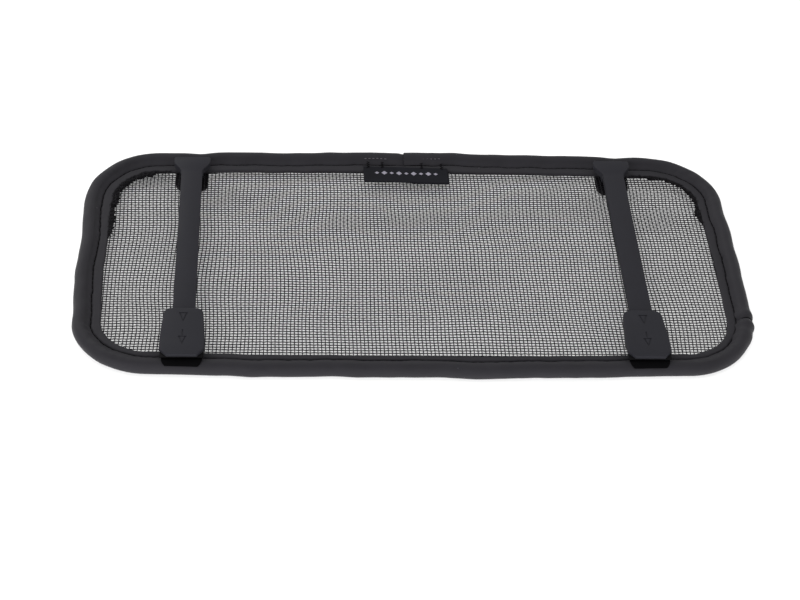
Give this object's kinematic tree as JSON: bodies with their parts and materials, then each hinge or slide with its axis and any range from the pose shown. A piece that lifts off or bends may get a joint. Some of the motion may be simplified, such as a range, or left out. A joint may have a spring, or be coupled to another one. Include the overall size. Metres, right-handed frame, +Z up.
{
  "type": "portlight insect screen",
  "caption": "Flat insect screen for a boat portlight: a fabric-bound bead round a woven mesh, with moulded straps across it and a sliding thumb latch on each.",
  "frame": {"origin": "middle of the screen in plan, on the surface it lies on", "axes": "+X along the screen, +Y towards the strap heads, +Z up from the mesh towards the straps"},
  "size_m": [0.284, 0.151, 0.0093],
  "materials": {
    "binding": "matte coated fabric",
    "mesh": "coated woven yarn",
    "moulding": "fine grained moulding",
    "plate": "matte moulding",
    "saddle": "matte",
    "thread": "twisted thread",
    "tack_thread": "twisted thread",
    "label": "woven tape",
    "foam": "closed-cell foam",
    "spring_wire": "drawn wire",
    "ferrule": "crimped sleeve",
    "steel": "stainless"
  },
  "bodies": {
    "root": {"plate_screws": "steel", "frame_wire": "spring_wire", "wire_ferrule": "ferrule", "foam_bead": "foam", "binding_main": "binding", "binding_right": "binding", "mesh_panel": "mesh", "hem_stitching": "thread", "joint_tacks": "tack_thread", "label_tag": "label", "label_stitching": "thread", "left_strap_bar": "moulding", "left_head_plate": "plate", "left_latch_plate": "plate", "left_wear_saddle": "saddle", "right_strap_bar": "moulding", "right_head_plate": "plate", "right_latch_plate": "plate", "right_wear_saddle": "saddle"},
    "left_latch": {"left_thumb_pad": "moulding", "left_latch_tongue": "moulding", "left_latch_keeper": "plate"},
    "right_latch": {"right_thumb_pad": "moulding", "right_latch_tongue": "moulding", "right_latch_keeper": "plate"}
  },
  "joints": [
    {"name": "left_latch_slide", "type": "slide", "parent": "root", "child": "left_latch", "axis": [0, -1, 0], "range_m": [0, 0.006]},
    {"name": "right_latch_slide", "type": "slide", "parent": "root", "child": "right_latch", "axis": [0, -1, 0], "range_m": [0, 0.006]}
  ]
}
